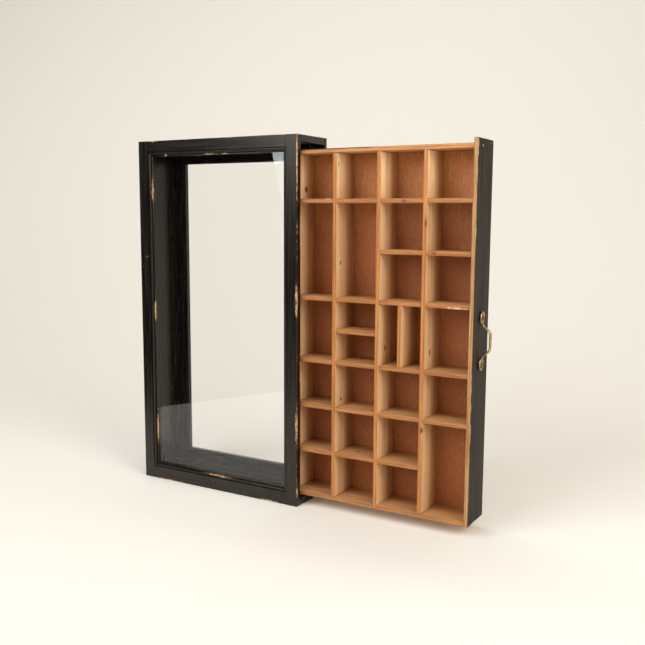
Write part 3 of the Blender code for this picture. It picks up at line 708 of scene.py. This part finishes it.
def pull_cup(face_x, middle_y, middle_z, side):
    """An egg-shaped cup with a raised rim and a dished middle, its slimmer end away from the bow."""
    deselect()
    bpy.ops.mesh.primitive_circle_add(vertices=CUP_SEGMENTS, radius=1.0, fill_type="NGON",
                                      rotation=(0.0, math.pi / 2, 0.0))
    settle()
    cup = bpy.context.object
    edit(cup)
    resize((1.0, CUP_WIDTH / 2, CUP_LENGTH / 2), (0.0, 0.0, 0.0))
    for way, stretch in ((1.0, CUP_FULL_END), (-1.0, CUP_SLIM_END)):
        pick(cup, lambda co: co.z * way > SLACK)
        resize((1.0, 1.0, stretch), (0.0, 0.0, 0.0))
    bpy.ops.mesh.select_all(action="SELECT")
    bpy.ops.transform.translate(value=(0.0, 0.0, -CUP_OFFSET))
    size_before = 1.0
    for rise, size in CUP_RINGS:
        grow((rise * CUP_DEPTH, 0.0, 0.0))
        step = size / size_before
        resize((1.0, step, step), (0.0, 0.0, CUP_DISH_OFFSET))
        size_before = size
    close_up()
    round_off = cup.modifiers.new("rounding", "SUBSURF")
    round_off.levels = 2
    apply_modifiers(cup)
    cup.rotation_euler = (0.0 if side > 0 else math.pi, 0.0, 0.0)
    cup.location = (face_x, middle_y, middle_z)
    settle()
    return cup


def pull_bow(grip_x, middle_y, middle_z):
    """The strap between the cups: half of it drawn out from the grip's middle, then mirrored."""
    deselect()
    bpy.ops.mesh.primitive_circle_add(vertices=BOW_SEGMENTS, radius=1.0,
                                      location=(grip_x, middle_y, middle_z))
    bow = bpy.context.object
    settle()
    edit(bow)
    resize((BOW_THICK / 2, BOW_WIDE / 2, 1.0), (grip_x, middle_y, middle_z))
    for _ in range(GRIP_STEPS):
        grow((0.0, 0.0, GRIP_HALF / GRIP_STEPS))
    z = middle_z + GRIP_HALF
    bpy.ops.mesh.spin(steps=GRIP_BEND_STEPS, angle=-GRIP_BEND, axis=(0.0, -1.0, 0.0),
                      center=(grip_x - GRIP_BEND_R, middle_y, z))
    across, up = math.sin(GRIP_BEND), math.cos(GRIP_BEND)
    x = grip_x - GRIP_BEND_R * (1 - up)
    z += GRIP_BEND_R * across
    step = LEG_LENGTH / LEG_STEPS
    for _ in range(LEG_STEPS):
        grow((-across * step, 0.0, up * step))
        x -= across * step
        z += up * step
        resize((LEG_TAPER, LEG_TAPER, LEG_TAPER), (x, middle_y, z))
    centre = (x + FOOT_BEND_R * up, middle_y, z + FOOT_BEND_R * across)
    bpy.ops.mesh.spin(steps=FOOT_BEND_STEPS, angle=-FOOT_BEND, center=centre, axis=(0.0, 1.0, 0.0))
    left_over = GRIP_BEND - FOOT_BEND
    grow((-math.sin(left_over) * FOOT_LENGTH, 0.0, math.cos(left_over) * FOOT_LENGTH))
    bpy.ops.mesh.edge_face_add()
    weld()
    bpy.ops.object.mode_set(mode="OBJECT")
    mirror_middle = bpy.data.objects.new("mirror_middle", None)
    mirror_middle.location = (grip_x, middle_y, middle_z)
    bpy.context.scene.collection.objects.link(mirror_middle)
    bpy.context.view_layer.update()
    mirrored = bow.modifiers.new("other_half", "MIRROR")
    mirrored.use_axis = (False, False, True)
    mirrored.mirror_object = mirror_middle
    mirrored.merge_threshold = SLACK
    apply_modifiers(bow)
    bpy.data.objects.remove(mirror_middle, do_unlink=True)
    edit(bow)
    close_up(50)
    return bow


def bow_pull():
    """The cast pull: two cups on the end board with the bow between them."""
    low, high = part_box("pull_handle")
    middle = (low + high) / 2
    half_span = (high.z - low.z) / 2 - CUP_LENGTH / 2
    cups = [pull_cup(low.x, middle.y, middle.z + side * half_span, side) for side in (1.0, -1.0)]
    bow = pull_bow(high.x - BOW_THICK / 2, middle.y, middle.z)
    for part in (*cups, bow):
        part.select_set(True)
    bpy.context.view_layer.objects.active = bow
    bpy.ops.object.join()
    return bow


def cup_screw(name, side):
    """A small slotted screw in the hollow of a cup."""
    low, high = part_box("pull_handle")
    middle = (low + high) / 2
    z = middle.z + side * ((high.z - low.z) / 2 - SCREW_INSET)
    deselect()
    bpy.ops.mesh.primitive_cylinder_add(vertices=SCREW_SEGMENTS, radius=SCREW_R, depth=SCREW_THICK,
                                        rotation=(0.0, math.pi / 2, 0.0))
    screw = bpy.context.object
    settle()
    edit(screw)
    for offset in (SCREW_SLOT, -SCREW_SLOT):
        bpy.ops.mesh.select_all(action="SELECT")
        bpy.ops.mesh.bisect(plane_co=(0.0, offset, 0.0), plane_no=(0.0, 1.0, 0.0))
    pick(screw, lambda co: co.x > 0 and abs(co.y) < SCREW_SLOT + SLACK)
    bpy.ops.mesh.select_mode(type="FACE")
    grow((-SCREW_SLOT_DEPTH, 0.0, 0.0))
    close_up()
    ease(screw, SCREW_EASE)
    screw.rotation_euler = (UPPER_SCREW_TURN if side > 0 else LOWER_SCREW_TURN, 0.0, 0.0)
    screw.location = (low.x + SCREW_RISE, middle.y, z)
    settle()
    screw.name = name
    screw.data.materials.append(brass)
    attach(screw, "tray")


def keyhole_cap(name, side):
    """A hollow cap over a keyhole's inner side, so no light shows through the back's top rail."""
    low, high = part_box("back_rail_top")
    deselect()
    bpy.ops.mesh.primitive_cube_add(size=1.0)
    cap = bpy.context.object
    cap.scale = (CAP_WIDTH, CAP_DEPTH, CAP_HEIGHT)
    cap.location = (side * KEYHOLE_X, low.y - CAP_DEPTH / 2, high.z - KEYHOLE_DROP)
    settle()
    edit(cap, "DESELECT")
    pick(cap, lambda co: co.y > low.y - SLACK)
    bpy.ops.mesh.select_mode(type="FACE")
    bpy.ops.mesh.inset(thickness=CAP_WALL)
    grow((0.0, CAP_WALL - CAP_DEPTH, 0.0))
    close_up()
    ease(cap, CAP_EASE)
    cap.name = name
    cap.data.materials.append(upright_paint)
    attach(cap, "case")


for node, turn in GLAZING_TURNS.items():
    finish_piece(glazing_moulding(node, turn), node.replace("front", "glazing"), node,
                 level_paint if runs_level(node) else upright_paint)
finish_piece(bow_pull(), "bow_pull", "pull_handle", brass)
keyhole_cap("keyhole_cap_left", -1.0)
keyhole_cap("keyhole_cap_right", 1.0)
cup_screw("cup_screw_upper", 1.0)
cup_screw("cup_screw_lower", -1.0)


# Floor, light and camera

PAPER = (0.875, 0.853, 0.80)
SWEEP_WIDTH = 14.0
FIRST_STRIP = 0.4
FLOOR_BACK_Y = 0.4
SWEEP_R = 3.0
WALL_RISE = 1.5
FLOOR_FRONT = 2.6
FLOOR_END_X = -0.63
FLOOR_SLANT = 1.29

COOL_LIGHT = (0.95, 0.975, 1.0)
WARM_LIGHT = (1.0, 0.965, 0.91)
AIR_PALE = (1.0, 0.95, 0.87, 1.0)
AIR_DARK = (0.03, 0.026, 0.022, 1.0)
DARK_WAY = (-0.600, -0.796, -0.080)
DARK_ENDS = math.radians(38)
DARK_FULL = math.radians(22)


def backdrop():
    """A pale floor that sweeps up into a wall behind the cabinet."""
    deselect()
    bpy.ops.mesh.primitive_plane_add(size=1.0)
    sweep = bpy.context.object
    sweep.name = "studio_sweep"
    sweep.scale = (SWEEP_WIDTH, FIRST_STRIP, 1.0)
    settle()
    edit(sweep, "DESELECT")
    pick(sweep, lambda co: co.y > 0.0)
    grow((0.0, FLOOR_BACK_Y - FIRST_STRIP / 2, 0.0))
    bpy.ops.mesh.spin(steps=48, angle=-math.pi / 2, center=(0.0, FLOOR_BACK_Y, SWEEP_R),
                      axis=(1.0, 0.0, 0.0))
    grow((0.0, 0.0, WALL_RISE))

    # The floor's front part stops at a slant on the left, so the glass mirrors the dark there
    bpy.ops.mesh.select_all(action="SELECT")
    bpy.ops.mesh.bisect(plane_co=(FLOOR_END_X, 0.0, 0.0), plane_no=(1.0, 0.0, 0.0))
    pick(sweep, lambda co: co.y < -0.1 and co.x > FLOOR_END_X - 0.01)
    grow((0.0, -FLOOR_FRONT, 0.0))
    pick(sweep, lambda co: co.y < -1.0 and co.x < 0.0)
    bpy.ops.transform.translate(value=(FLOOR_SLANT, 0.0, 0.0))
    bpy.ops.mesh.select_all(action="SELECT")
    bpy.ops.mesh.remove_doubles(threshold=0.0001)
    bpy.ops.object.mode_set(mode="OBJECT")
    bpy.ops.object.shade_smooth()
    f = Finish("studio_paper", 0.85)
    f.set("Specular IOR Level", 0.15)
    sweep.data.materials.append(f.done(PAPER))


def studio_air():
    """Pale air, but dark left of the camera, where the glass and the paint mirror it."""
    world = bpy.data.worlds.new("studio_air")
    world.use_nodes = True
    air = world.node_tree
    towards = air.nodes.new("ShaderNodeTexCoord").outputs["Generated"]
    along_dark = air.nodes.new("ShaderNodeVectorMath")
    along_dark.operation = "DOT_PRODUCT"
    along_dark.inputs[1].default_value = DARK_WAY
    air.links.new(towards, along_dark.inputs[0])
    dark = air.nodes.new("ShaderNodeMapRange")
    dark.interpolation_type = "SMOOTHSTEP"
    dark.inputs["From Min"].default_value = math.cos(DARK_ENDS)
    dark.inputs["From Max"].default_value = math.cos(DARK_FULL)
    air.links.new(along_dark.outputs["Value"], dark.inputs["Value"])
    tone = air.nodes.new("ShaderNodeMix")
    tone.data_type = "RGBA"
    tone.inputs[MIX_UNDER].default_value = AIR_PALE
    tone.inputs[MIX_OVER].default_value = AIR_DARK
    air.links.new(dark.outputs["Result"], tone.inputs[MIX_SHARE])
    air.links.new(tone.outputs[MIX_RESULT], air.nodes["Background"].inputs["Color"])
    air.nodes["Background"].inputs["Strength"].default_value = 0.31
    bpy.context.scene.world = world


def softbox(name, where, aim, size, radiance, colour, edge=(0.0, 0.0, 1.0)):
    """A soft rectangular light at a place, aimed at a point, its tall side along an edge."""
    lamp = bpy.data.lights.new(name, "AREA")
    lamp.shape = "RECTANGLE"
    lamp.size, lamp.size_y = size
    lamp.energy = radiance * math.pi * size[0] * size[1]
    lamp.color = colour
    back = (Vector(where) - Vector(aim)).normalized()
    right = Vector(edge).cross(back).normalized()
    obj = bpy.data.objects.new(name, lamp)
    obj.matrix_world = Matrix((right, back.cross(right), back)).transposed().to_4x4()
    obj.location = where
    bpy.context.scene.collection.objects.link(obj)


backdrop()
studio_air()

# The key's left edge mirrors in the glass as a slanted line beside the right stile, and a faint
# strip just below the key lets its mirror image fade downwards
KEY_EDGE_TOP = Vector((-0.828, -1.452, 0.693))
KEY_EDGE_LOW = Vector((-0.788, -1.468, 0.509))
KEY_WIDTH = 1.4
key_edge = (KEY_EDGE_TOP - KEY_EDGE_LOW).normalized()
key_back = (KEY_EDGE_LOW - Vector((0.12, 0.0, 0.45))).normalized()
key_right = key_edge.cross(key_back).normalized() * KEY_WIDTH / 2
key_place = KEY_EDGE_TOP + key_edge * 0.766 + key_right
skirt_place = KEY_EDGE_TOP - key_edge * 0.12 + key_right
softbox("key_softbox", key_place, key_place - key_back, size=(KEY_WIDTH, 1.6), radiance=4.7,
        colour=COOL_LIGHT, edge=key_edge)
softbox("key_skirt", skirt_place, skirt_place - key_back, size=(KEY_WIDTH, 0.2), radiance=0.8,
        colour=COOL_LIGHT, edge=key_edge)
softbox("overhead_softbox", (0.4, -1.5, 3.0), (0.2, 0.8, 0.0), size=(4.0, 2.6), radiance=0.58,
        colour=WARM_LIGHT, edge=(0.0, 1.0, 0.0))
softbox("front_softbox", (0.8, -3.0, 1.7), (0.2, 0.0, 0.3), size=(2.6, 1.8), radiance=0.6,
        colour=(1.0, 0.97, 0.92))
softbox("backdrop_light", (-3.0, 0.7, 2.9), (-3.0, 3.0, 0.8), size=(7.5, 1.0), radiance=3.2,
        colour=WARM_LIGHT)
softbox("right_softbox", (1.95, -0.80, 1.25), (0.3, 0.0, 0.2), size=(1.1, 1.4), radiance=5.8,
        colour=(1.0, 0.94, 0.86))

# The camera was solved from the case's corners in the photograph
FOCAL_PIXELS = 827.45
PHOTO_PIXELS = 645
lens = bpy.data.cameras.new("photo_camera")
lens.sensor_width = 36.0
lens.lens = FOCAL_PIXELS / PHOTO_PIXELS * lens.sensor_width
lens.clip_start = 0.01
lens.clip_end = 50.0
camera = bpy.data.objects.new("photo_camera", lens)
camera.location = (0.8528, -1.1558, 0.4760)
camera.rotation_euler = [math.radians(a) for a in (82.5616, -0.2975, 30.1310)]
bpy.context.scene.collection.objects.link(camera)
bpy.context.scene.camera = camera
bpy.context.scene.view_settings.view_transform = "Standard"
